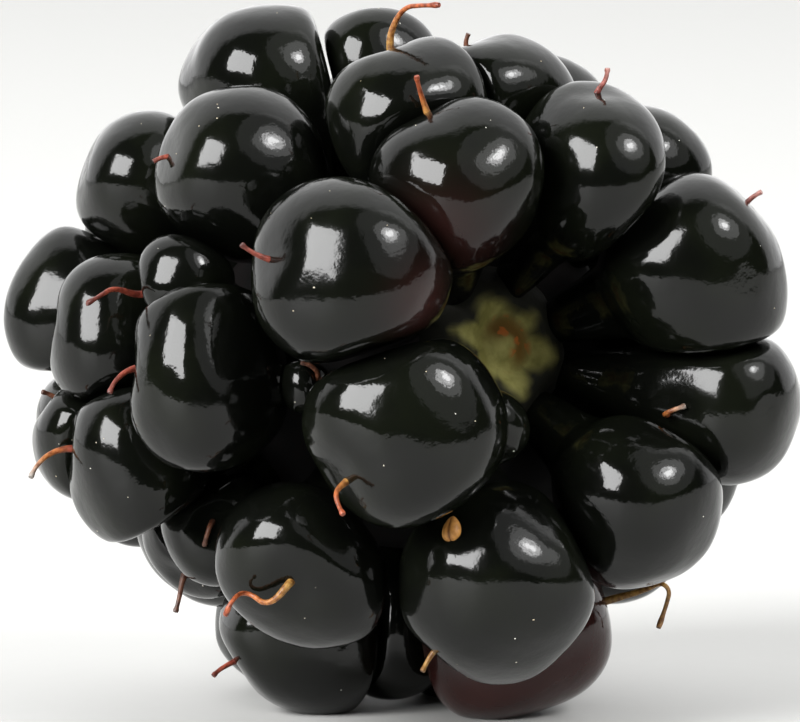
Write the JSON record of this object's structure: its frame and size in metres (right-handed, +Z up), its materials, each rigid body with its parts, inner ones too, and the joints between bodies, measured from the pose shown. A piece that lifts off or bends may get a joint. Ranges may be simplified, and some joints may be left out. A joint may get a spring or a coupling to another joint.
{
  "type": "bramble berry",
  "caption": "Ripe bramble berry as picked, lying on its side: glossy black drupelets pressed together round a pale receptacle, with withered styles.",
  "frame": {"origin": "bottom centre of the bounding box, on the surface that the berry lies on", "axes": "+Z up; the berry's stem end faces -Y and is raised by 10 degrees, its tip points to +Y; +X is to the right seen from the stem end"},
  "size_m": [0.019, 0.0204, 0.0182],
  "materials": {
    "drupelet_skin": "glossy black fruit skin with a purple cast",
    "receptacle": "dull pale green pith with a brown scar",
    "withered_style": "dry red-brown thread"
  },
  "bodies": {
    "root": {"drupelets": "drupelet_skin", "receptacle": "receptacle"}
  },
  "joints": []
}
